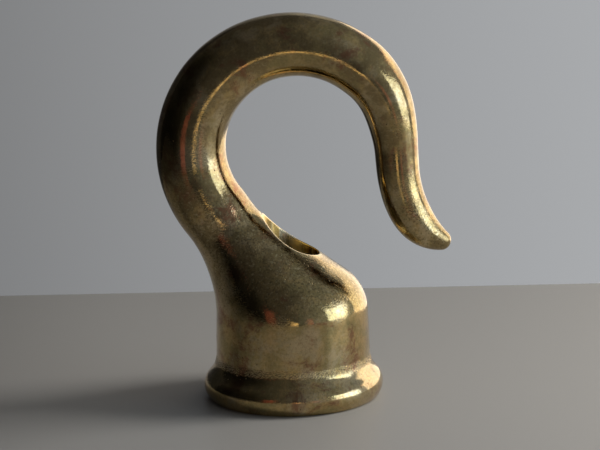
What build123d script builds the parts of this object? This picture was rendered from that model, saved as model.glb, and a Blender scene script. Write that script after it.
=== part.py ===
from build123d import *

import os
from math import cos, radians, sin, tan

# Lamp ceiling hook, cast and turned as one piece of brass.
# A cup with a beaded rim screws on to a threaded pipe, its shoulder leans over into a round bar,
# and the bar bends into an open crook whose tip curls outwards.
# The lamp's lead passes up the threaded cup and out through a round hole in the shoulder's slope.
# Millimetres. The origin is the middle of the rim, +Z runs up the cup's axis,
# and the crook lies in the XZ plane with its tip towards +X.

# Cup, outside
shoulder_radius = 7.85
shoulder_height = 8.8
wall_draft = 1.3  # degrees, the wall widens towards the rim
bead_radius = 9.27
bead_height = 1.3
bead_round = 1.8
bead_fillet = 2.8

# Cup, inside: a tapping bore for an M10 x 1 thread, and the wire hole above it
thread_bore_radius = 4.5
thread_bore_depth = 9.5
mouth_chamfer = 0.5
drill_point_angle = 118.0
wire_hole_radius = 2.85
wire_hole_edge_break = 0.25

# Shoulder and neck, seen from the front
shoulder_round = 5.0
slope_angle = 36.2  # degrees above level

# Crook, measured on the bar's middle line
crook_radius = 10.55
crook_centre_x = 0.62
crook_centre_height = 25.93
heel_angle = 218.0  # where the neck ends, round the crook's centre
nose_angle = 48.0  # where the crook's even bend ends

# From the nose to the tip the bend tightens, opens out and turns back outwards
nose_radius = 8.6
nose_turn = 32.5
flank_radius = 20.0
flank_turn = 12.0
throat_length = 2.0
recurve_radius = 12.5
recurve_turn = 21.5
curl_radius = 6.2
curl_turn = 46.0

# The bar's radius, which falls evenly from one of these places to the next
heel_bar_radius = 3.68
crown_bar_radius = 3.46
nose_bar_radius = 3.04
throat_bar_radius = 2.24
recurve_bar_radius = 2.14
tip_taper = 23.6  # degrees, half the angle of the tip's point
tip_round = 1.07

# Round sections that shape the shoulder, the neck and the bar
wall_section_count = 2
wall_section_spacing = 1.2
neck_section_count = 8
bar_section_spacing = 2.8
tip_section_count = 4


def heading(angle):
    """Direction in the XZ plane at an angle in degrees above +X."""
    return Vector(cos(radians(angle)), 0, sin(radians(angle)))


def wall_radius(height):
    """Outside radius of the cup's drafted wall at a height above the rim."""
    return shoulder_radius + (shoulder_height - height) * tan(radians(wall_draft))


def along(wire, fraction):
    """Point that lies a fraction of the way along a wire."""
    return wire.position_at(wire.length * fraction, PositionMode.LENGTH)


def section_plane(middle, outward):
    """Plane of one round section: x runs to the bar's outer side and z along the bar."""
    return Plane(origin=middle, x_dir=outward, z_dir=Vector(outward.Z, 0, -outward.X))


# Middle line of the bar, from the heel round the crook to the tip
crook_centre = Vector(crook_centre_x, 0, crook_centre_height)
heel = crook_centre + heading(heel_angle) * crook_radius
with BuildLine(Plane.XZ) as middle_line:
    crook = JernArc(heel, heading(heel_angle - 90), crook_radius, nose_angle - heel_angle)
    nose = JernArc(crook @ 1, crook % 1, nose_radius, -nose_turn)
    flank = JernArc(nose @ 1, nose % 1, flank_radius, -flank_turn)
    throat = Line(flank @ 1, flank @ 1 + (flank % 1) * throat_length)
    recurve = JernArc(throat @ 1, throat % 1, recurve_radius, recurve_turn)
    curl = JernArc(recurve @ 1, recurve % 1, curl_radius, curl_turn)
bar_path = middle_line.wires()[0]

# Back of the neck: one sweep from the cup's wall to the outside of the heel
wall_top = heading(0) * shoulder_radius + Vector(0, 0, shoulder_height)
with BuildLine(Plane.XZ) as back_line:
    Spline(
        wall_top - heading(0) * shoulder_radius * 2,
        heel + heading(heel_angle) * heel_bar_radius,
        tangents=[heading(90), heading(heel_angle - 90)],
    )
back_rail = back_line.wires()[0]

# Front of the neck: round shoulder, straight slope past the wire hole, then up into the crook
slope_heading = heading(180 - slope_angle)
with BuildLine(Plane.XZ) as front_line:
    shoulder = JernArc(wall_top, heading(90), shoulder_round, 90 - slope_angle)
    slope_length = ((shoulder @ 1).X + wire_hole_radius) / cos(radians(slope_angle))
    slope = Line(shoulder @ 1, shoulder @ 1 + slope_heading * slope_length)
    Spline(
        slope @ 1,
        heel - heading(heel_angle) * heel_bar_radius,
        tangents=[slope_heading, heading(heel_angle - 90)],
    )
front_rail = front_line.wires()[0]

# The tip ends in part of a ball, and the bar narrows to meet it without an edge
tip_end_radius = tip_round * cos(radians(tip_taper))
tip_cap_height = tip_round * (1 - sin(radians(tip_taper)))
tip_length = 2 * (recurve_bar_radius - tip_end_radius) / tan(radians(tip_taper))
tip_start = bar_path.length - tip_length

# Places along the bar and the bar's radius there
bar_places = [
    (0, heel_bar_radius),
    (crook.length / 2, crown_bar_radius),
    (crook.length, nose_bar_radius),
    (crook.length + nose.length + flank.length, throat_bar_radius),
    (tip_start, recurve_bar_radius),
]


def bar_radius(distance):
    """Radius of the bar at a distance along its middle line."""
    if distance > tip_start:
        left = bar_path.length - distance
        return tip_end_radius + tan(radians(tip_taper)) * left * (1 - left / tip_length / 2)
    for (start, start_radius), (end, end_radius) in zip(bar_places, bar_places[1:]):
        if distance <= end:
            share = (distance - start) / (end - start)
            return start_radius + (end_radius - start_radius) * share


def even_steps(start, end, count):
    """Distances that divide a length evenly, without its start and with its end."""
    return [start + (end - start) * (step + 1) / count for step in range(count)]


bar_section_count = round(tip_start / bar_section_spacing)
bar_distances = even_steps(0, tip_start, bar_section_count)
bar_distances += even_steps(tip_start, bar_path.length, tip_section_count)

with BuildPart() as lamp_hook:
    # Lower part of the cup: drafted wall, bead and the fillet between them
    cup_top = shoulder_height - wall_section_count * wall_section_spacing
    with BuildSketch(Plane.XZ) as cup_profile:
        with BuildLine():
            Polyline(
                (0, 0),
                (wall_radius(0), 0),
                (wall_radius(cup_top), cup_top),
                (0, cup_top),
                close=True,
            )
        make_face()
        with Locations((bead_radius - bead_round, bead_height)):
            Circle(bead_round)
        Rectangle(bead_radius, cup_top, align=(Align.MIN, Align.MIN), mode=Mode.INTERSECT)
        between = (bead_height, cup_top)
        crease = cup_profile.vertices().filter_by_position(Axis.Y, *between, (False, False))
        fillet(crease, bead_fillet)
    revolve(axis=Axis.Z)

    # Top of the wall, shoulder, neck and bar, through round sections
    for step in range(wall_section_count):
        height = cup_top + step * wall_section_spacing
        with BuildSketch(section_plane(Vector(0, 0, height), heading(180))):
            Circle(wall_radius(height))
    for step in range(neck_section_count):
        front = along(front_rail, step / neck_section_count)
        back = along(back_rail, step / neck_section_count)
        with BuildSketch(section_plane((front + back) / 2, (back - front).normalized())):
            Circle((back - front).length / 2)
    for distance in [0] + bar_distances:
        tangent = bar_path.tangent_at(distance, PositionMode.LENGTH)
        middle = bar_path.position_at(distance, PositionMode.LENGTH)
        with BuildSketch(section_plane(middle, Vector(-tangent.Z, 0, tangent.X))):
            Circle(bar_radius(distance))
    loft()

    # Round end of the tip
    tip_axis = Axis(curl @ 1, curl % 1)
    with BuildSketch(Plane(origin=tip_axis.position, x_dir=tip_axis.direction, z_dir=(0, -1, 0))):
        with BuildLine():
            Line((0, 0), (0, tip_end_radius))
            JernArc(
                (0, tip_end_radius),
                (cos(radians(tip_taper)), -sin(radians(tip_taper))),
                tip_round,
                tip_taper - 90,
            )
            Line((tip_cap_height, 0), (0, 0))
        make_face()
    revolve(axis=tip_axis)

    # Threaded cup, drill point and wire hole, cut out together
    drill_point_height = (thread_bore_radius - wire_hole_radius) / tan(radians(drill_point_angle / 2))
    with BuildSketch(Plane.XZ):
        with BuildLine():
            Polyline(
                (0, 0),
                (thread_bore_radius + mouth_chamfer, 0),
                (thread_bore_radius, mouth_chamfer),
                (thread_bore_radius, thread_bore_depth),
                (wire_hole_radius, thread_bore_depth + drill_point_height),
                (wire_hole_radius, crook_centre_height),
                (0, crook_centre_height),
                close=True,
            )
        make_face()
    revolve(axis=Axis.Z, mode=Mode.SUBTRACT)

    # The edge where the hole breaks through the slope is taken off, so that it doesn't cut the lead
    hole_rim = lamp_hook.edges(Select.LAST).filter_by(GeomType.BSPLINE)
    chamfer(hole_rim, wire_hole_edge_break)

lamp_hook.part.label = "lamp_hook"
os.makedirs("parts", exist_ok=True)
export_step(lamp_hook.part, "parts/lamp_hook.step")
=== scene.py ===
import bisect
import logging
from dataclasses import dataclass
from enum import Enum
from functools import partial
from itertools import accumulate
from math import asin, atan2, copysign, cos, pi, radians, sin, sqrt, tan
from typing import Callable

import bmesh
import bpy
from mathutils import Matrix, Vector, geometry, noise
from mathutils.bvhtree import BVHTree


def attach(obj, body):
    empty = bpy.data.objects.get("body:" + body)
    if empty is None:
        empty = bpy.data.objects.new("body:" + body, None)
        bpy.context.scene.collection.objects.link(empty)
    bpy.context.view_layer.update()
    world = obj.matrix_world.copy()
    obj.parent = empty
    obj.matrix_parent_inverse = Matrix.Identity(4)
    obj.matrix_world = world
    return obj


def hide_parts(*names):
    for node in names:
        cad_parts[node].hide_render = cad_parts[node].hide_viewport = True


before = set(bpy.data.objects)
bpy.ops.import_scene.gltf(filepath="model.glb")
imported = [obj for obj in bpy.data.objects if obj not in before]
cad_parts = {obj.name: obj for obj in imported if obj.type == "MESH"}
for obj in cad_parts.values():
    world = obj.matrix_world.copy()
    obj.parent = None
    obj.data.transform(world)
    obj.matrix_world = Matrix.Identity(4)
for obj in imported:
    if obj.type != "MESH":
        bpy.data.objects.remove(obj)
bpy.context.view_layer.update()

LOG = logging.getLogger("lamp_hook")
MM = 0.001
DOWN = Vector((0, 0, -1))
HOLE_RADIUS = 2.85 * MM
SWEEP_POINTS = 200
SMALLEST_CHANGE = 1e-6
SLACK = 0.02 * MM
SEAM = 0.01

Pair = tuple[float, float]
Colour = tuple[float, float, float]
Piece = bpy.types.Object
Socket = bpy.types.NodeSocket


class RayKind(Enum):
    """Rays that see the paleness of the floor and the backdrop."""

    CAMERA = "Is Camera Ray"
    GLOSSY = "Is Glossy Ray"
    TRANSMISSION = "Is Transmission Ray"


class Operation(Enum):
    """Ways to work out one pattern from others."""

    SCALE_AND_ADD = "MULTIPLY_ADD"
    LARGER = "MAXIMUM"


def heading(angle: float) -> Vector:
    """Direction in the XZ plane, at an angle in degrees above +X."""
    return Vector((cos(radians(angle)), 0, sin(radians(angle))))


def round_axis(angle: float, radius: float, height: float) -> Vector:
    """Point at an angle in radians round the cup's axis."""
    return Vector((radius * cos(angle), radius * sin(angle), height))


def shares(steps: int) -> list[float]:
    """Shares that divide a whole evenly, without 0 and with 1."""
    return [step / steps for step in range(1, steps + 1)]


def deselect_everything() -> None:
    """Leave edit mode and deselect every object."""
    if bpy.context.object is not None and bpy.context.object.mode != "OBJECT":
        bpy.ops.object.mode_set(mode="OBJECT")
    bpy.ops.object.select_all(action="DESELECT")


def make_active(piece: Piece) -> None:
    """Select one object alone and make it the active one.

    Args:
        piece: The object.
    """
    deselect_everything()
    piece.select_set(True)
    bpy.context.view_layer.objects.active = piece


def open_mesh(piece: Piece, choice: str) -> None:
    """Edit the points of one object.

    Args:
        piece: The object.
        choice: What is done to the selection of its points, such as SELECT.
    """
    make_active(piece)
    bpy.ops.object.mode_set(mode="EDIT")
    bpy.ops.mesh.select_mode(type="VERT")
    bpy.ops.mesh.select_all(action=choice)


def close_mesh() -> None:
    """Turn every face outwards and leave edit mode."""
    bpy.ops.mesh.select_all(action="SELECT")
    bpy.ops.mesh.normals_make_consistent(inside=False)
    bpy.ops.object.mode_set(mode="OBJECT")


def bearing(point: bmesh.types.BMVert) -> float:
    """Angle of a point round the cup's axis, in radians, and always about -pi at the seam."""
    angle = atan2(point.co.y, point.co.x)
    return angle - 2 * pi if angle > pi - SEAM else angle


def extend_loop(piece: Piece, place: Callable[[float], Vector]) -> None:
    """Extrude the selected open loop of points round the cup's axis, and move the new ones.

    Args:
        piece: The mesh that the loop is on, in edit mode.
        place: Gives a point's new place from its angle round the axis.
    """
    bpy.ops.mesh.extrude_edges_move()
    mesh = bmesh.from_edit_mesh(piece.data)
    for point in mesh.verts:
        if point.select:
            point.co = place(bearing(point))
    bmesh.update_edit_mesh(piece.data)


def extend_to_ring(piece: Piece, radius: float, height: float) -> None:
    """Extrude the selected open loop to a level ring."""
    extend_loop(piece, partial(round_axis, radius=radius, height=height))


@dataclass(frozen=True)
class Section:
    """One round section of the hook.

    Attributes:
        middle: Its centre.
        outward: Direction from its centre to the bar's outer side, in the XZ plane.
        radius: Its radius.
    """

    middle: Vector
    outward: Vector
    radius: float

    def turn(self) -> float:
        """Angle of the outward direction above +X, in radians."""
        return atan2(self.outward.z, self.outward.x)


def spread(points: list[Vector], places: list[float]) -> list[Vector]:
    """Points at given shares of a curve's length.

    Args:
        points: Closely spaced points of the curve, in order.
        places: Share of the length that lies before each point, over 0 and under 1.

    Returns:
        The points.
    """
    lengths = [0.0, *accumulate((end - start).length for start, end in zip(points, points[1:]))]
    found = []
    for share in places:
        distance = share * lengths[-1]
        after = bisect.bisect_right(lengths, distance)
        walked = (distance - lengths[after - 1]) / (lengths[after] - lengths[after - 1])
        found.append(points[after - 1].lerp(points[after], walked))
    return found


def sweep_points(start: Vector, start_angle: float, end: Vector, end_angle: float) -> list[Vector]:
    """Points of a smooth sweep between two points with given headings.

    Args:
        start: Where it starts.
        start_angle: Heading there, in degrees.
        end: Where it ends.
        end_angle: Heading there, in degrees.

    Returns:
        The points, with both ends.
    """
    handle = (end - start).length / 3
    from_start = start + heading(start_angle) * handle
    to_end = end - heading(end_angle) * handle
    return list(geometry.interpolate_bezier(start, from_start, to_end, end, SWEEP_POINTS))


def arc(middle: Pair, radius: float, start: float, end: float, steps: int) -> list[Pair]:
    """Points along an arc round a middle, from a start to an end angle in radians, with both ends."""
    angles = [start + (end - start) * step / steps for step in range(steps + 1)]
    return [(middle[0] + radius * cos(angle), middle[1] + radius * sin(angle)) for angle in angles]


class RingSweep:
    """Grows a tube ring by ring from a round primitive."""

    def __init__(self, name: str, first: Section, segments: int) -> None:
        """Place the first ring and enter edit mode.

        Args:
            name: Name of the new object.
            first: Section of the first ring.
            segments: Points round a ring.
        """
        deselect_everything()
        bpy.ops.mesh.primitive_circle_add(
            vertices=segments, radius=first.radius, location=first.middle, rotation=(0, pi - first.turn(), 0)
        )
        self.piece = bpy.context.object
        self.piece.name = name
        self.piece.data.name = name
        bpy.ops.object.transform_apply(location=True, rotation=True, scale=True)
        open_mesh(self.piece, "SELECT")
        self.last = first

    def grow(self, section: Section) -> None:
        """Extrude the open ring to another section.

        Args:
            section: Where the new ring goes.
        """
        step = section.middle - self.last.middle
        bpy.ops.mesh.extrude_edges_move(TRANSFORM_OT_translate={"value": step})
        turn = section.turn() - self.last.turn()
        turn = atan2(sin(turn), cos(turn))
        if abs(turn) > SMALLEST_CHANGE:
            bpy.ops.transform.rotate(value=turn, orient_axis="Y", center_override=section.middle)
        share = section.radius / self.last.radius
        if abs(share - 1) > SMALLEST_CHANGE:
            bpy.ops.transform.resize(value=(share,) * 3, center_override=section.middle)
        self.last = section

    def finish(self) -> Piece:
        """Draw the open ring together into one point and leave edit mode.

        Returns:
            The tube.
        """
        bpy.ops.mesh.merge(type="CENTER")
        close_mesh()
        return self.piece


@dataclass(frozen=True)
class Cup:
    """The threaded cup: drafted wall and beaded rim.

    Attributes:
        shoulder_radius: Outside radius at the top of the wall.
        shoulder_height: Height of the top of the wall.
        wall_draft: Degrees that the wall widens towards the rim.
        bead_radius: Outside radius of the bead.
        bead_height: Height of the bead's widest place.
        bead_round: Radius of the bead's round.
        bead_fillet: Radius of the hollow above the bead.
        foot_land: Width of the flat ring that the sweep starts on.
        bead_steps: Rings on the bead's round.
        fillet_steps: Rings in the hollow.
        wall_steps: Rings on the wall.
    """

    shoulder_radius: float = 7.85 * MM
    shoulder_height: float = 8.8 * MM
    wall_draft: float = 1.3
    bead_radius: float = 9.27 * MM
    bead_height: float = 1.3 * MM
    bead_round: float = 1.8 * MM
    bead_fillet: float = 2.8 * MM
    foot_land: float = 0.25 * MM
    bead_steps: int = 18
    fillet_steps: int = 9
    wall_steps: int = 10

    def wall_radius(self, height: float) -> float:
        """Outside radius of the wall at a height above the rim."""
        widening = tan(radians(self.wall_draft))
        return self.shoulder_radius + (self.shoulder_height - height) * widening

    def profile(self) -> list[Pair]:
        """Outline of the cup, from the foot up to the shoulder.

        Returns:
            Radius and height of each ring.
        """
        draft = radians(self.wall_draft)
        slope = tan(draft)
        bead_middle = self.bead_radius - self.bead_round
        # The hollow's centre lies its own radius off the wall and off the bead's round
        reach = self.bead_round + self.bead_fillet
        offset = self.wall_radius(self.bead_height) + self.bead_fillet / cos(draft) - bead_middle
        rise = (offset * slope + sqrt((1 + slope**2) * reach**2 - offset**2)) / (1 + slope**2)
        across = offset - rise * slope
        bead_end = atan2(rise, across)
        bead_start = -asin(self.bead_height / self.bead_round)
        bead = arc((bead_middle, self.bead_height), self.bead_round, bead_start, bead_end, self.bead_steps)
        middle = (bead_middle + across, self.bead_height + rise)
        hollow = arc(middle, self.bead_fillet, bead_end + pi, pi + draft, self.fillet_steps)
        wall_foot = hollow[-1][1]
        rise = self.shoulder_height - wall_foot
        heights = [wall_foot + rise * step / self.wall_steps for step in range(1, self.wall_steps + 1)]
        wall = [(self.wall_radius(height), height) for height in heights]
        return [(bead[0][0] - self.foot_land, 0.0)] + bead + hollow[1:] + wall

    def sections(self) -> list[Section]:
        """Sections of the cup's outside, from the foot to the shoulder."""
        return [Section(Vector((0, 0, height)), heading(180), radius) for radius, height in self.profile()]


@dataclass(frozen=True)
class Crook:
    """The round bar: crook, nose, flank, throat and the tip that curls outwards.

    Attributes:
        radius: Even bend of the crook, on the bar's middle line.
        centre: Centre of that bend.
        heel_angle: Where it starts, in degrees round the centre.
        nose_angle: Where it ends.
        nose_radius: Bend of the nose.
        nose_turn: Its degrees.
        flank_radius: Bend of the flank.
        flank_turn: Its degrees.
        throat_length: Straight stretch beside the throat.
        recurve_radius: First outward bend.
        recurve_turn: Its degrees.
        curl_radius: Bend of the tip.
        curl_turn: Its degrees.
        heel_bar: Bar radius at the heel.
        crown_bar: Bar radius half way round.
        nose_bar: Bar radius at the nose.
        throat_bar: Bar radius beside the throat.
        recurve_bar: Bar radius where the tip's taper starts.
        tip_taper: Half the angle of the tip's point, in degrees.
        tip_round: Radius of the tip's ball end.
        last_lean: Degrees round the ball of the last ring, where 90 is a point.
        ring_gap: Distance from ring to ring.
        tip_steps: Rings on the ball end.
    """

    radius: float = 10.55 * MM
    centre: Vector = Vector((0.62 * MM, 0, 25.93 * MM))
    heel_angle: float = 218.0
    nose_angle: float = 48.0
    nose_radius: float = 8.6 * MM
    nose_turn: float = 32.5
    flank_radius: float = 20.0 * MM
    flank_turn: float = 12.0
    throat_length: float = 2.0 * MM
    recurve_radius: float = 12.5 * MM
    recurve_turn: float = 21.5
    curl_radius: float = 6.2 * MM
    curl_turn: float = 46.0
    heel_bar: float = 3.68 * MM
    crown_bar: float = 3.46 * MM
    nose_bar: float = 3.04 * MM
    throat_bar: float = 2.24 * MM
    recurve_bar: float = 2.14 * MM
    tip_taper: float = 23.6
    tip_round: float = 1.07 * MM
    last_lean: float = 88.0
    ring_gap: float = 0.62 * MM
    tip_steps: int = 7

    def heel(self) -> Vector:
        """Middle of the bar where the neck ends."""
        return self.centre + heading(self.heel_angle) * self.radius

    def bends(self) -> list[Pair]:
        """Length of each stretch of the middle line, and its turn in degrees, negative if clockwise."""
        arcs = [
            (self.radius, self.nose_angle - self.heel_angle), (self.nose_radius, -self.nose_turn),
            (self.flank_radius, -self.flank_turn), (self.throat_length, 0.0),
            (self.recurve_radius, self.recurve_turn), (self.curl_radius, self.curl_turn),
        ]
        return [(radius * radians(abs(turn)) if turn else radius, turn) for radius, turn in arcs]

    def length(self) -> float:
        """Length of the middle line."""
        return sum(length for length, _ in self.bends())

    def place(self, distance: float) -> tuple[Vector, float]:
        """Point of the middle line and its heading.

        Args:
            distance: Distance from the heel along the line.

        Returns:
            The point, and the heading in degrees.
        """
        point, angle = self.heel(), self.heel_angle - 90
        for length, turn in self.bends():
            walked = min(distance, length)
            if turn:
                radius = length / radians(abs(turn))
                side = copysign(1.0, turn)
                centre = point + heading(angle + 90 * side) * radius
                angle += turn * walked / length
                point = centre - heading(angle + 90 * side) * radius
            else:
                point = point + heading(angle) * walked
            distance -= walked
            if distance <= 0:
                break
        return point, angle

    def tip_end_radius(self) -> float:
        """Radius where the taper meets the ball end."""
        return self.tip_round * cos(radians(self.tip_taper))

    def tip_start(self) -> float:
        """Distance along the bar at which the tip's taper starts."""
        drop = self.recurve_bar - self.tip_end_radius()
        return self.length() - 2 * drop / tan(radians(self.tip_taper))

    def bar_radius(self, distance: float) -> float:
        """Radius of the bar.

        Args:
            distance: Distance from the heel along the middle line.

        Returns:
            The radius there.
        """
        lengths = [length for length, _ in self.bends()]
        if distance > self.tip_start():
            left = self.length() - distance
            taper_length = self.length() - self.tip_start()
            slope = tan(radians(self.tip_taper))
            return self.tip_end_radius() + slope * left * (1 - left / taper_length / 2)
        places = [
            (0.0, self.heel_bar), (lengths[0] / 2, self.crown_bar), (lengths[0], self.nose_bar),
            (sum(lengths[:3]), self.throat_bar), (self.tip_start(), self.recurve_bar),
        ]
        for (start, start_radius), (end, end_radius) in zip(places, places[1:]):
            if distance <= end:
                return start_radius + (end_radius - start_radius) * (distance - start) / (end - start)
        return self.recurve_bar

    def sections(self) -> list[Section]:
        """Sections from the heel to the start of the ball end, and round the ball.

        Returns:
            The sections, the last one almost closed.
        """
        found = []
        steps = round(self.length() / self.ring_gap)
        for step in range(steps + 1):
            distance = self.length() * step / steps
            point, angle = self.place(distance)
            found.append(Section(point, heading(angle + 90), self.bar_radius(distance)))
        point, angle = self.place(self.length())
        ball_middle = point - heading(angle) * self.tip_round * sin(radians(self.tip_taper))
        for step in range(1, self.tip_steps + 1):
            lean = radians(self.tip_taper + (self.last_lean - self.tip_taper) * step / self.tip_steps)
            middle = ball_middle + heading(angle) * self.tip_round * sin(lean)
            found.append(Section(middle, heading(angle + 90), self.tip_round * cos(lean)))
        return found


@dataclass
class Neck:
    """The shoulder and the neck, which lean over from the cup into the crook.

    Attributes:
        cup: The cup that they stand on.
        crook: The crook that they lead to.
        shoulder_round: Radius of the shoulder, seen from the front.
        slope_angle: Slope past the wire hole, in degrees above level.
        round_points: Steps along the shoulder's outline.
        slope_points: Steps along the slope's outline.
        steps: Rings from the cup to the heel.
    """

    cup: Cup
    crook: Crook
    shoulder_round: float = 5.0 * MM
    slope_angle: float = 36.2
    round_points: int = 80
    slope_points: int = 60
    steps: int = 44

    def rails(self) -> tuple[list[Vector], list[Vector]]:
        """Outlines of the neck, seen from the front.

        Returns:
            Points of the front and of the back, each from the cup's wall up.
        """
        crook = self.crook
        wall_top = Vector((self.cup.shoulder_radius, 0, self.cup.shoulder_height))
        wall_back = Vector((-wall_top.x, 0, wall_top.z))
        to_outside = heading(crook.heel_angle) * crook.heel_bar
        rise = crook.heel_angle - 90
        back = sweep_points(wall_back, 90, crook.heel() + to_outside, rise)
        middle = wall_top + heading(180) * self.shoulder_round
        turn = 90 - self.slope_angle
        angles = [turn * step / self.round_points for step in range(self.round_points + 1)]
        front = [middle + heading(angle) * self.shoulder_round for angle in angles]
        lean = 180 - self.slope_angle
        slope_length = (front[-1].x + HOLE_RADIUS) / cos(radians(self.slope_angle))
        slope_end = front[-1] + heading(lean) * slope_length
        front += [front[-1].lerp(slope_end, share) for share in shares(self.slope_points)]
        front += sweep_points(slope_end, lean, crook.heel() - to_outside, rise)[1:]
        return front, back

    def sections(self) -> list[Section]:
        """Sections between the cup and the heel, without the cup's last and the heel's."""
        fronts, backs = (spread(rail, shares(self.steps)[:-1]) for rail in self.rails())
        return [
            Section((front + back) / 2, (back - front).normalized(), (back - front).length / 2)
            for front, back in zip(fronts, backs)
        ]


@dataclass(frozen=True)
class WireHole:
    """The round hole in the slope, through which the lamp's lead comes out.

    Attributes:
        radius: Radius of the hole.
        edge_round: How far its worn edge is rounded.
        overrun: Where it ends down the wall, as a share of that.
        probe: Distance over which the slope beside it is measured.
        lowest_edge: Height that every point of the hole's rim is above.
        highest_edge: Height that every point of it is below.
        round_steps: Rings of the rounded edge.
        evening: Share by which the points of the rim are spread evenly.
        flat_height: Height of the first level ring inside.
        wall_steps: Rings from the edge down to that level.
        rub_outset: Distance from the hole's wall to the middle of the worn ring, which also carries a
            painted highlight.
        rub_width: Half the width of its bare part.
        rub_fade: Distance over which it fades out.
    """

    radius: float = HOLE_RADIUS
    edge_round: float = 0.22 * MM
    overrun: float = 1.3
    probe: float = 0.4 * MM
    lowest_edge: float = 12.0 * MM
    highest_edge: float = 21.3 * MM
    round_steps: int = 7
    evening: float = 0.5
    flat_height: float = 13.2 * MM
    wall_steps: int = 5
    rub_outset: float = 0.06 * MM
    rub_width: float = 0.08 * MM
    rub_fade: float = 0.14 * MM

    def surface_point(self, tree: BVHTree, radius: float, angle: float) -> Vector:
        """Point of the slope's upper side, straight below one at an angle and a radius."""
        return tree.ray_cast(round_axis(angle, radius, self.highest_edge), DOWN)[0]

    def corner(self, tree: BVHTree, angle: float) -> tuple[Vector, Vector, Vector]:
        """Points that the rounded edge is drawn from.

        Args:
            tree: The whole outside before it is cut.
            angle: Angle round the axis, in radians.

        Returns:
            Point of the rim, where its tangent meets the hole's wall, and where the rounding ends.
        """
        reach = self.radius + self.edge_round
        start = self.surface_point(tree, reach, angle)
        rise = (start.z - self.surface_point(tree, reach + self.probe, angle).z) / self.probe
        edge = round_axis(angle, self.radius, start.z + rise * self.edge_round)
        return start, edge, edge + DOWN * self.edge_round * self.overrun

    def round_point(self, tree: BVHTree, share: float, angle: float) -> Vector:
        """Place on the rounded edge, at a share of the way over it."""
        start, edge, end = self.corner(tree, angle)
        return start.lerp(edge, share).lerp(edge.lerp(end, share), share)

    def wall_point(self, tree: BVHTree, share: float, angle: float) -> Vector:
        """Place on the wall, at a share of the way down to the first level ring."""
        top = self.corner(tree, angle)[1].z - self.edge_round * self.overrun
        return round_axis(angle, self.radius, top + (self.flat_height - top) * share)

    def cut(self, piece: Piece) -> None:
        """Open the hole, fit its rim to a circle, round the edge and start the wall.

        The open loop inside stays selected, in edit mode.

        Args:
            piece: The closed outside of the hook, with its foot open.
        """
        open_mesh(piece, "DESELECT")
        mesh = bmesh.from_edit_mesh(piece.data)
        tree = BVHTree.FromBMesh(mesh)
        reach = self.radius + self.edge_round
        doomed = [
            face
            for face in mesh.faces
            if face.normal.z > 0
            and self.lowest_edge < face.calc_center_median().z < self.highest_edge
            and any(point.co.xy.length < reach for point in face.verts)
        ]
        bmesh.ops.delete(mesh, geom=doomed, context="FACES")
        rim = [
            point
            for point in sorted(mesh.verts, key=bearing)
            if point.is_boundary and point.co.z > self.lowest_edge and point.co.xy.length < 2 * reach
        ]
        rim_edges = {edge for point in rim for edge in point.link_edges if edge.is_boundary}
        for index, point in enumerate(rim):
            even = -pi + 2 * pi * (index + 0.5) / len(rim)
            angle = bearing(point)
            point.co = self.surface_point(tree, reach, angle + (even - angle) * self.evening)
        for edge in rim_edges:
            edge.select = True
        bmesh.update_edit_mesh(piece.data)
        bpy.ops.mesh.select_mode(type="EDGE")
        for share in shares(self.round_steps):
            extend_loop(piece, partial(self.round_point, tree, share))
        for share in shares(self.wall_steps):
            extend_loop(piece, partial(self.wall_point, tree, share))

    def owns(self, face: bpy.types.MeshPolygon) -> bool:
        """Whether a face is part of the hole's wall."""
        return face.center.xy.length < self.radius + SLACK and face.center.z < self.highest_edge

    def rubbed_and_highlight(self, point: Vector) -> float:
        """How far the metal is worn bare at a point, with a painted highlight there too.

        Args:
            point: The point.

        Returns:
            A share from 0 to 1.
        """
        if not self.lowest_edge < point.z < self.highest_edge:
            return 0.0
        off_ring = max(0.0, abs(point.xy.length - self.radius - self.rub_outset) - self.rub_width)
        return max(0.0, 1 - off_ring / self.rub_fade)


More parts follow.
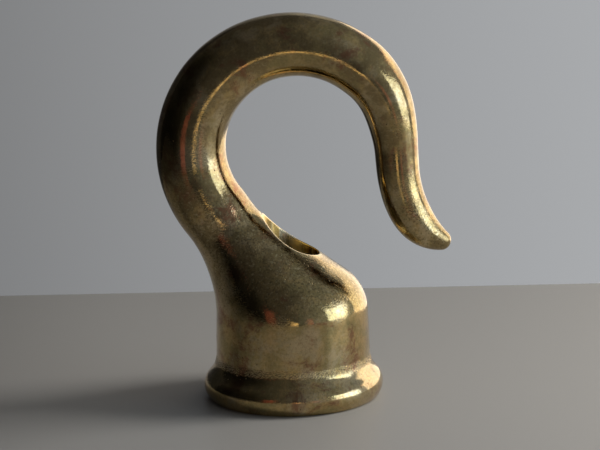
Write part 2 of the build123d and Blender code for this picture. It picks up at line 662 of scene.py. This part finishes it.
@dataclass(frozen=True)
class ThreadedBore:
    """The tapped inside of the cup, from the drill point down to the mouth.

    Attributes:
        crest_radius: Radius inside the thread's crests.
        root_radius: Radius at the bottom of the thread's grooves.
        pitch: Height of one turn of the thread.
        groove_depth: Depth of the groove without its flat root, in thread depths.
        flank_slope: Its fall to either side, in thread depths to a pitch.
        depth: Height of the bore's shoulder above the mouth.
        point_angle: Angle of the drill point, in degrees.
        mouth_chamfer: Size of the chamfer at the mouth.
        thread_end: Distance from the bore's shoulder down to the thread's end.
        run_out: Height over which the thread fades there.
        rows_per_turn: Rings in one pitch.
        hole_rings: Heights above the drill point of the rings in the wire hole.
        cone_rings: Shares of the drill point at which it has rings.
        mouth_rings: Height and outset of the rings on the mouth's edge.
        lining_height: Height above the shoulder up to which it has the bore's finish.
    """

    crest_radius: float = 4.5 * MM
    root_radius: float = 4.95 * MM
    pitch: float = 1.0 * MM
    groove_depth: float = 1.25
    flank_slope: float = 3.1
    depth: float = 9.5 * MM
    point_angle: float = 118.0
    mouth_chamfer: float = 0.5 * MM
    thread_end: float = 0.6 * MM
    run_out: float = 1.4 * MM
    rows_per_turn: int = 8
    hole_rings: tuple[float, ...] = (0.9 * MM, 0.05 * MM, 0.0)
    cone_rings: tuple[float, ...] = (0.5, 0.97, 1.0)
    mouth_rings: tuple[Pair, ...] = ((0.04 * MM, -0.02 * MM), (0.0, 0.03 * MM))
    lining_height: float = 1.05 * MM

    def wall_point(self, height: float, angle: float) -> Vector:
        """Place on the tapped wall.

        Args:
            height: Height above the mouth.
            angle: Angle round the axis, in radians.

        Returns:
            The place.
        """
        turn = (height / self.pitch - angle / (2 * pi)) % 1.0
        cut = min(max(self.groove_depth - abs(turn - 0.5) * self.flank_slope, 0.0), 1.0)
        fade = min(max((self.depth - self.thread_end - height) / self.run_out, 0.0), 1.0)
        radius = self.crest_radius + (self.root_radius - self.crest_radius) * cut * fade
        return round_axis(angle, radius, height)

    def grow(self, piece: Piece) -> None:
        """Carry the open loop down through the drill point and the thread, and close the rim.

        Args:
            piece: The mesh, in edit mode with the hole's inner loop selected.
        """
        widening = self.crest_radius - HOLE_RADIUS
        drop = widening / tan(radians(self.point_angle / 2))
        for above in self.hole_rings:
            extend_to_ring(piece, HOLE_RADIUS, self.depth + drop + above)
        for share in self.cone_rings:
            extend_to_ring(piece, HOLE_RADIUS + widening * share, self.depth + drop - drop * share)
        tapped = self.depth - self.mouth_chamfer
        for share in shares(round(tapped / self.pitch * self.rows_per_turn)):
            extend_loop(piece, partial(self.wall_point, self.depth - tapped * share))
        for height, outset in self.mouth_rings:
            extend_to_ring(piece, self.crest_radius + self.mouth_chamfer + outset, height)
        extend_to_ring(piece, self.crest_radius + 2 * self.mouth_chamfer, 0.0)
        mesh = bmesh.from_edit_mesh(piece.data)
        for edge in mesh.edges:
            edge.select = edge.is_boundary
        bmesh.update_edit_mesh(piece.data)
        bpy.ops.mesh.bridge_edge_loops()

    def owns(self, face: bpy.types.MeshPolygon) -> bool:
        """Whether a face is part of the bore."""
        inside = face.center.xy.length < self.root_radius + SLACK
        return inside and face.center.z < self.depth + self.lining_height


class NodeTree:
    """Adds nodes to a material or a world."""

    def __init__(self, tree: bpy.types.NodeTree) -> None:
        """Work on one node tree."""
        self.nodes, self.links = tree.nodes, tree.links

    def fill(self, socket: Socket, value: Socket | Colour | float) -> None:
        """Link a pattern to a socket, or give it a value that is the same all over.

        Args:
            socket: The socket.
            value: The pattern or the value.
        """
        if isinstance(value, Socket):
            self.links.new(value, socket)
        else:
            socket.default_value = (*value, 1) if socket.type == "RGBA" else value

    def add(self, kind: str, outlet: str | int, inputs: dict, **settings: str) -> Socket:
        """Add a node.

        Args:
            kind: Its type.
            outlet: Name or number of the output that is used.
            inputs: Pattern or value of each input, by its name or number.
            settings: Value of each of its own settings, by its name.

        Returns:
            The output.
        """
        node = self.nodes.new("ShaderNode" + kind)
        for name, setting in settings.items():
            setattr(node, name, setting)
        for name, value in inputs.items():
            self.fill(node.inputs[name], value)
        return node.outputs[outlet]


class Recipe(NodeTree):
    """Builds one material from procedural patterns that read Object coordinates."""

    def __init__(self, name: str) -> None:
        """Start a material with its shader.

        Args:
            name: Name of the material.
        """
        self.material = bpy.data.materials.new(name)
        self.material.use_nodes = True
        super().__init__(self.material.node_tree)
        self.place = self.add("TexCoord", "Object", {})

    def feed(self, name: str, value: Socket | float) -> None:
        """Give one of the shader's sockets a pattern, or a value that is the same all over."""
        self.fill(self.nodes["Principled BSDF"].inputs[name], value)

    def cloud(self, scale: float, detail: float, rough: float = 0.55, warp: float = 0.0) -> Socket:
        """Cloudy noise, about 0.5 on average: clouds per metre, finer layers, their strength and swirl."""
        look = {"Scale": scale, "Detail": detail, "Roughness": rough, "Distortion": warp}
        return self.add("TexNoise", "Fac", {"Vector": self.place, **look})

    def mottle(
        self, scale: float, detail: float, rough: float, low: float, high: float,
        least: float = 0.0, most: float = 1.0, warp: float = 0.0,
    ) -> Socket:
        """Cloudy noise, spread so that it runs from least below a low value to most above a high one."""
        return self.span(self.cloud(scale, detail, rough, warp), low, high, least, most)

    def along(self, axis: str) -> Socket:
        """Distance from the origin along X, Y or Z."""
        return self.add("SeparateXYZ", axis, {0: self.place})

    def span(
        self, value: Socket, low: float, high: float, to_low: float = 0.0, to_high: float = 1.0
    ) -> Socket:
        """Map a pattern from one span to another, held at both ends."""
        ends = {"From Min": low, "From Max": high, "To Min": to_low, "To Max": to_high}
        return self.add("MapRange", "Result", {"Value": value, **ends}, interpolation_type="SMOOTHSTEP")

    def combine(self, operation: Operation, *values: Socket | float) -> Socket:
        """Work out one pattern from others."""
        return self.add("Math", 0, dict(enumerate(values)), operation=operation.value)

    def scaled(self, pattern: Socket, gain: Socket | float, rest: Socket | float = 0.0) -> Socket:
        """Multiply a pattern by a gain and add another to it."""
        return self.combine(Operation.SCALE_AND_ADD, pattern, gain, rest)

    def blend(self, share: Socket, first: Socket | Colour, second: Socket | Colour) -> Socket:
        """Blend two colours by the share of the second."""
        # Inputs 6 and 7 and output 2 are the ones that hold colours
        return self.add("Mix", 2, {"Factor": share, 6: first, 7: second}, data_type="RGBA")


class Finish:
    """A look that can be made into a material."""

    def build(self, name: str) -> bpy.types.Material:
        """Make the material.

        Args:
            name: Name of the material.

        Returns:
            The material.
        """
        recipe = Recipe(name)
        self.dress(recipe)
        return recipe.material

    def dress(self, recipe: Recipe) -> None:
        """Add the look to an empty recipe."""
        raise NotImplementedError


@dataclass(frozen=True)
class AgedBrass(Finish):
    """Cast brass, buffed long ago.

    Olive, umber and red-brown tarnish lies over it, with fine specks, and the rim of the wire hole is bare
    and painted brighter as a highlight.
    The skin is gritty, with scattered pits, and coarser in the hollow above the bead.

    Attributes:
        gold: Colour of the bare metal.
        olive: Colour of the common tarnish.
        pale: Colour of metal that is dulled and greyed.
        brown: Colour of the heavier, reddish tarnish.
        bright: Colour of edges that are worn bare, light enough to stand as a painted highlight too.
        umber: Colour of the darker tarnish on the neck and the bar.
        dark: Colour of fine dark specks.
        glint: Colour of fine pale specks, painted glints.
        dirt: Colour of what fills the pits.
        hollow: Lowest and highest place of the coarse band in the hollow.
        umber_rise: Heights between which the umber sets in.
        umber_waver: How far its lower edge wavers.
        skin_rise: Heights between which the neck's grit and specks set in.
        skin_fall: Heights between which they fade on the bar.
        relief: Depth of the grit and the pits.
    """

    gold: Colour = (0.62, 0.44, 0.19)
    olive: Colour = (0.40, 0.315, 0.14)
    pale: Colour = (0.58, 0.48, 0.31)
    brown: Colour = (0.31, 0.15, 0.08)
    bright: Colour = (0.86, 0.70, 0.42)
    umber: Colour = (0.30, 0.22, 0.105)
    dark: Colour = (0.13, 0.10, 0.045)
    glint: Colour = (0.72, 0.62, 0.38)
    dirt: Colour = (0.08, 0.055, 0.03)
    hollow: Pair = (3.7 * MM, 4.9 * MM)
    umber_rise: Pair = (15 * MM, 22 * MM)
    umber_waver: float = 14 * MM
    skin_rise: Pair = (9 * MM, 13 * MM)
    skin_fall: Pair = (18 * MM, 25 * MM)
    relief: float = 0.03 * MM

    def dress(self, recipe: Recipe) -> None:
        """Lay the tarnish over the metal, and give it its skin.

        Args:
            recipe: The empty recipe.
        """
        recipe.feed("Metallic", 1.0)
        height = recipe.scaled(recipe.cloud(700, 3), 0.5 * MM, recipe.along("Z"))
        low, high = self.hollow
        middle = (low + high) / 2
        band = recipe.scaled(recipe.span(height, low, middle), recipe.span(height, middle, high, 1.0, 0.0))
        skin = recipe.span(height, *self.skin_rise, to_low=0.45)
        skin = recipe.scaled(skin, recipe.span(height, *self.skin_fall, to_low=1.0, to_high=0.4))
        wavering = recipe.scaled(recipe.cloud(180, 5, 0.65), self.umber_waver, recipe.along("Z"))
        darkening = recipe.mottle(380, 6, 0.7, 0.42, 0.58, 0.15, 0.9)
        umber = recipe.scaled(recipe.span(wavering, *self.umber_rise), darkening)
        patches = recipe.mottle(420, 7, 0.72, 0.40, 0.60, warp=0.2)
        greying = recipe.mottle(210, 7, 0.72, 0.46, 0.62, most=0.65, warp=0.3)
        reddening = recipe.mottle(280, 8, 0.75, 0.52, 0.64, most=0.85, warp=0.5)
        # Fine pale specks painted as glints
        glints = recipe.scaled(recipe.mottle(3600, 3, 0.75, 0.54, 0.66, most=0.6), skin)
        specks = recipe.scaled(recipe.mottle(4200, 3, 0.7, 0.50, 0.62, most=0.6), skin)
        pit_size = recipe.scaled(band, 0.08, recipe.mottle(240, 3, 0.6, 0.42, 0.60, 0.01, 0.12))
        pit_centres = recipe.add("TexVoronoi", "Distance", {"Scale": 1500, "Vector": recipe.place})
        pits = recipe.span(recipe.scaled(pit_centres, -1.0, pit_size), 0.0, 0.07)
        # The worn ring round the wire hole: bare metal and a painted highlight in one
        rubbed_and_highlight = recipe.add("Attribute", "Fac", {}, attribute_name="rubbed_and_highlight")
        layers = (
            (greying, self.pale), (umber, self.umber), (reddening, self.brown), (glints, self.glint),
            (specks, self.dark), (rubbed_and_highlight, self.bright), (pits, self.dirt),
        )
        colour = recipe.blend(patches, self.olive, self.gold)
        for share, tint in layers:
            colour = recipe.blend(share, colour, tint)
        recipe.feed("Base Color", colour)
        smears = recipe.scaled(band, 0.05, recipe.mottle(800, 6, 0.72, 0.40, 0.60, 0.04, 0.15))
        recipe.feed("Roughness", recipe.scaled(pits, 0.25, smears))
        strength = recipe.scaled(skin, recipe.mottle(440, 6, 0.72, 0.42, 0.58, 0.25, 1.1))
        strength = recipe.scaled(band, 5.0, strength)
        # The grit is centred on zero first, so that its strength raises no ridge
        centred = recipe.scaled(recipe.cloud(6000, 2, 0.6), 1.0, -0.5)
        grit = recipe.scaled(recipe.cloud(1300, 2, 0.5), 0.18, recipe.scaled(centred, strength))
        relief = {"Height": recipe.scaled(pits, -1.0, grit), "Distance": self.relief}
        recipe.feed("Normal", recipe.add("Bump", "Normal", relief))


@dataclass(frozen=True)
class DrilledBrassWithPaintedLight(Finish):
    """Bare brass inside the hole and the thread, with streaks along the bore, painted brighter than the
    outside to stand in for light that bounces inside the hole.

    Attributes:
        metal: Colour of the metal, bare brass painted bright for the light inside the hole.
        shade: Colour of its dark streaks.
        dull: Colour of its greyed streaks.
        stretch: Width of the streaks, as a share of their length.
    """

    # Bare brass, made brighter still as painted light for the light that bounces inside the hole
    metal: Colour = (0.95, 0.68, 0.24)
    shade: Colour = (0.45, 0.32, 0.11)
    dull: Colour = (0.74, 0.70, 0.50)
    stretch: float = 0.06

    def dress(self, recipe: Recipe) -> None:
        """Draw the streaks along the bore.

        Args:
            recipe: The empty recipe.
        """
        recipe.feed("Metallic", 1.0)
        stretch = {"Vector": recipe.place, "Scale": (1.0, 1.0, self.stretch)}
        recipe.place = recipe.add("Mapping", "Vector", stretch)
        streaks = recipe.mottle(800, 4, 0.6, 0.42, 0.58)
        greying = recipe.mottle(480, 3, 0.6, 0.50, 0.60, most=0.9)
        colour = recipe.blend(streaks, self.shade, self.metal)
        recipe.feed("Base Color", recipe.blend(greying, colour, self.dull))
        recipe.feed("Roughness", recipe.mottle(1500, 3, 0.55, 0.35, 0.65, 0.22, 0.36))


@dataclass(frozen=True)
class PaleSurface(Finish):
    """A plain floor or backdrop with painted shade, which grows darker to the left.

    Attributes:
        colour: Its colour on the right.
        shade: Its colour on the left, a painted shade.
        fade: Where along X the shade ends and the colour starts.
        lift: Light that it adds for the camera, reflections and glass.
        roughness: Roughness of its surface.
    """

    colour: Colour
    shade: Colour
    fade: Pair = (-0.45, 0.30)
    lift: float = 0.0
    roughness: float = 0.8

    def dress(self, recipe: Recipe) -> None:
        """Paint shade over the surface, dark on the left and light on the right.

        Args:
            recipe: The empty recipe.
        """
        recipe.feed("Roughness", self.roughness)
        # Painted shade: the colour darkens from right to left, standing in for light falling off away from
        # the lamps
        colour = recipe.blend(recipe.span(recipe.along("X"), *self.fade), self.shade, self.colour)
        recipe.feed("Base Color", colour)
        recipe.feed("Emission Color", colour)
        if self.lift > 0:
            camera, glossy, glass = (recipe.add("LightPath", kind.value, {}) for kind in RayKind)
            seen = recipe.combine(Operation.LARGER, recipe.combine(Operation.LARGER, camera, glossy), glass)
            recipe.feed("Emission Strength", recipe.scaled(seen, self.lift))


@dataclass
class LampHook:
    """The whole hook, as one piece.

    Attributes:
        cup: The threaded cup.
        crook: The bent bar.
        hole: The wire hole.
        bore: The tapped bore.
        finish: The finish of the outside.
        inside: The finish of the hole and the bore, bare brass with painted light.
        segments: Points round a ring before the surface is smoothed.
        crease_angle: Degrees between faces over which an edge is sharp.
        unevenness: Depth of the hand-finished surface's hollows.
        hollow_scale: Hollows per metre.
        plain_foot: Height below which the rim has no hollows.
    """

    cup: Cup = Cup()
    crook: Crook = Crook()
    hole: WireHole = WireHole()
    bore: ThreadedBore = ThreadedBore()
    finish: AgedBrass = AgedBrass()
    inside: DrilledBrassWithPaintedLight = DrilledBrassWithPaintedLight()
    segments: int = 72
    crease_angle: float = 38
    unevenness: float = 0.045 * MM
    hollow_scale: float = 260
    plain_foot: float = 0.3 * MM

    def build(self) -> Piece:
        """Model the hook and dress it.

        Returns:
            The finished piece.
        """
        neck = Neck(self.cup, self.crook)
        sections = self.cup.sections() + neck.sections() + self.crook.sections()
        sweep = RingSweep("hook_body", sections[0], self.segments)
        for section in sections[1:]:
            sweep.grow(section)
        piece = sweep.finish()
        self.smooth(piece)
        self.wear(piece)
        self.hole.cut(piece)
        self.bore.grow(piece)
        close_mesh()
        bpy.ops.object.shade_smooth_by_angle(angle=radians(self.crease_angle))
        self.paint(piece)
        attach(piece, "root")
        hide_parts("lamp_hook")
        return piece

    def smooth(self, piece: Piece) -> None:
        """Round the swept surface off.

        Args:
            piece: The swept outside.
        """
        make_active(piece)
        bpy.ops.object.modifier_add(type="SUBSURF")
        modifier = piece.modifiers[-1]
        modifier.levels = modifier.render_levels = 1
        bpy.ops.object.modifier_apply(modifier=modifier.name)

    def wear(self, piece: Piece) -> None:
        """Press shallow hollows into the outside, as filing and buffing by hand leaves them.

        Args:
            piece: The smoothed outside.
        """
        shift = Vector((7, 3, 1))
        mesh = bmesh.new()
        mesh.from_mesh(piece.data)
        mesh.normal_update()
        for point in mesh.verts:
            if point.co.z < self.plain_foot:
                continue
            finer = noise.noise(point.co * 2 * self.hollow_scale + shift)
            broad = noise.noise(point.co * self.hollow_scale) + 0.5 * finer
            depth = (0.5 + 0.5 * max(-1.0, min(1.0, broad))) * self.unevenness
            point.co -= point.normal * depth
        mesh.to_mesh(piece.data)
        mesh.free()

    def paint(self, piece: Piece) -> None:
        """Dress the outside and the inside, and paint the worn edge, which is also a painted highlight, for
        the finish to read.

        Args:
            piece: The finished mesh.
        """
        piece.data.materials.append(self.finish.build("aged_brass"))
        piece.data.materials.append(self.inside.build("drilled_brass_with_painted_light"))
        for face in piece.data.polygons:
            if self.hole.owns(face) or self.bore.owns(face):
                face.material_index = 1
        # Share of the worn ring round the hole, which is bare metal and a painted highlight
        rubbed_and_highlight = piece.data.attributes.new("rubbed_and_highlight", "FLOAT", "POINT")
        rubbed_and_highlight.data.foreach_set("value", [self.hole.rubbed_and_highlight(point.co) for point in piece.data.vertices])


@dataclass(frozen=True)
class Lamp:
    """One soft studio lamp.

    Attributes:
        name: Its name.
        azimuth: Degrees round its target, from 0 at the camera to 90 on the right.
        elevation: Degrees above level.
        distance: Distance from its target.
        width: Width of its face.
        height: Height of its face.
        power: Watts.
        colour: Colour of its light.
        spread: Angle of its beam, in degrees.
        mirrored: Whether its face shows in reflections.
    """

    name: str
    azimuth: float
    elevation: float
    distance: float
    width: float
    height: float
    power: float
    colour: Colour
    spread: float = 180.0
    mirrored: bool = True

    def build(self, target: Vector) -> None:
        """Make the lamp and aim it.

        Args:
            target: Where it points.
        """
        light = bpy.data.lights.new(self.name, "AREA")
        light.shape = "RECTANGLE"
        light.size, light.size_y = self.width, self.height
        light.energy = self.power
        light.color = self.colour
        light.spread = radians(self.spread)
        made = bpy.data.objects.new(self.name, light)
        bpy.context.scene.collection.objects.link(made)
        level, rise = radians(self.azimuth), radians(self.elevation)
        back = Vector((sin(level) * cos(rise), -cos(level) * cos(rise), sin(rise)))
        made.location = target + back * self.distance
        made.rotation_euler = back.to_track_quat("Z", "Y").to_euler()
        made.visible_glossy = self.mirrored
        made.visible_camera = False


@dataclass
class Studio:
    """Floor, backdrop, lamps and the dim room.

    Attributes:
        floor_span: Where along Y the floor starts, and ends as the table does.
        floor_reach: How far the floor and the backdrop run to either side.
        floor_finish: Look of the floor, with painted shade towards the left.
        backdrop_distance: How far behind the hook the backdrop stands.
        backdrop_span: Heights of its lower and its upper edge.
        backdrop_finish: Look of the backdrop, with painted shade towards the left.
        pool_middle: Middle of the pool of light on the floor.
        room: Colour of the dim room, from the far left at 0 to the far right at 1.
        lamps: The lamps, aimed at the hook, or at the pool if not mirrored.
    """

    floor_span: Pair = (-95 * MM, 44 * MM)
    floor_reach: float = 1.3
    # The floor darkens to a painted shade on its left, for light that falls off away from the lamps
    floor_finish: PaleSurface = PaleSurface(
        colour=(0.37, 0.358, 0.335), shade=(0.08, 0.078, 0.073), fade=(-0.085, -0.015), roughness=0.5
    )
    backdrop_distance: float = 0.75
    backdrop_span: Pair = (-0.6, 0.7)
    # The backdrop darkens to a painted shade on its left
    backdrop_finish: PaleSurface = PaleSurface(
        colour=(0.76, 0.77, 0.78), shade=(0.03, 0.03, 0.032), lift=0.47
    )
    pool_middle: Vector = Vector((90 * MM, -12 * MM, 0))
    room: tuple[tuple[float, Colour], ...] = (
        (0.0, (0.005, 0.005, 0.005)), (0.12, (0.012, 0.012, 0.012)), (0.32, (0.068, 0.068, 0.070)),
        (0.52, (0.085, 0.087, 0.092)), (0.94, (0.34, 0.37, 0.40)), (1.0, (0.55, 0.57, 0.60)),
    )
    lamps: tuple[Lamp, ...] = (
        Lamp("window", 72, 7, 0.22, 0.146, 0.092, 0.116, (0.78, 0.89, 1.0)),
        Lamp("bright_wall", 136, 6, 0.52, 0.58, 0.46, 1.36, (1.0, 0.85, 0.68)),
        Lamp("table_edge", 3, -9, 0.105, 0.020, 0.009, 0.0006, (1.0, 0.78, 0.46)),
        Lamp("red_card_left", -31, -6, 0.112, 0.026, 0.056, 0.0007, (1.0, 0.22, 0.16)),
        Lamp("red_card_right", 26, -8, 0.108, 0.016, 0.030, 0.0003, (1.0, 0.26, 0.17)),
        Lamp("floor_pool", 105, 48, 0.26, 0.12, 0.12, 0.155, (1.0, 0.98, 0.96), spread=72, mirrored=False),
    )

    def plane(self, name: str, low: Vector, high: Vector, finish: PaleSurface) -> None:
        """A flat sheet of the stage between two corners.

        Args:
            name: Its name.
            low: Lowest corner.
            high: Highest corner.
            finish: Its finish.
        """
        deselect_everything()
        bpy.ops.mesh.primitive_plane_add(size=1, location=(0, 0, 0))
        sheet = bpy.context.object
        sheet.name = name
        open_mesh(sheet, "SELECT")
        size = high - low
        if size.z > size.y:
            bpy.ops.transform.rotate(value=pi / 2, orient_axis="X", center_override=(0, 0, 0))
        bpy.ops.transform.resize(value=tuple(max(length, MM) for length in size), center_override=(0, 0, 0))
        bpy.ops.transform.translate(value=(low + high) / 2)
        bpy.ops.object.mode_set(mode="OBJECT")
        sheet.data.materials.append(finish.build(name))

    def surroundings(self) -> bpy.types.World:
        """Make the dim room, which grows lighter from left to right.

        Returns:
            The room as a world.
        """
        world = bpy.data.worlds.new("room")
        world.use_nodes = True
        tree = NodeTree(world.node_tree)
        across = tree.add("SeparateXYZ", "X", {0: tree.add("TexCoord", "Generated", {})})
        place = tree.add("MapRange", "Result", {"Value": across, "From Min": -1.0})
        tint = tree.add("ValToRGB", "Color", {"Fac": place})
        stops = tint.node.color_ramp.elements
        while len(stops) < len(self.room):
            stops.new(1.0)
        for stop, (share, colour) in zip(stops, self.room):
            stop.position, stop.color = share, (*colour, 1)
        tree.fill(tree.nodes["Background"].inputs["Color"], tint)
        return world

    def build(self, target: Vector) -> None:
        """Set the stage.

        Args:
            target: Where the lamps point.
        """
        reach, behind = self.floor_reach, self.backdrop_distance
        (front, back), (foot, top) = self.floor_span, self.backdrop_span
        self.plane("floor", Vector((-reach, front, 0)), Vector((reach, back, 0)), self.floor_finish)
        corners = Vector((-reach, behind, foot)), Vector((reach, behind, top))
        self.plane("backdrop", *corners, self.backdrop_finish)
        for lamp in self.lamps:
            lamp.build(target if lamp.mirrored else self.pool_middle)
        bpy.context.scene.world = self.surroundings()
        bpy.context.scene.view_settings.view_transform = "Standard"


@dataclass
class PhotoCamera:
    """The camera at the photograph's viewing angle.

    Attributes:
        aim: Point in the middle of the picture.
        distance: Distance from the camera to that point.
        elevation: Degrees that it looks down from.
        roll: Degrees that it is turned clockwise.
        lens: Focal length in millimetres, on a sensor 36 mm wide.
    """

    aim: Vector = Vector((0.975 * MM, 0, 17.8 * MM))
    distance: float = 283 * MM
    elevation: float = 12.7
    roll: float = 1.2
    lens: float = 166.2

    def build(self) -> None:
        """Make the camera and use it for the scene."""
        data = bpy.data.cameras.new("photo_camera")
        data.lens = self.lens
        data.clip_start, data.clip_end = 10 * MM, 10
        made = bpy.data.objects.new("photo_camera", data)
        bpy.context.scene.collection.objects.link(made)
        rise, roll = radians(self.elevation), radians(self.roll)
        back = Vector((0, -cos(rise), sin(rise)))
        level = Vector((1, 0, 0))
        upright = back.cross(level)
        right = level * cos(roll) - upright * sin(roll)
        up = level * sin(roll) + upright * cos(roll)
        turned = Matrix((right, up, back)).transposed().to_4x4()
        made.matrix_world = Matrix.Translation(self.aim + back * self.distance) @ turned
        bpy.context.scene.camera = made


def main() -> None:
    """Build the camera, the stage and the hook, and report each piece."""
    logging.basicConfig(level=logging.INFO, format="%(name)s: %(message)s")
    camera = PhotoCamera()
    camera.build()
    Studio().build(camera.aim)
    piece = LampHook().build()
    LOG.info("%s: %d points, %d faces", piece.name, len(piece.data.vertices), len(piece.data.polygons))


if __name__ == "__main__":
    main()
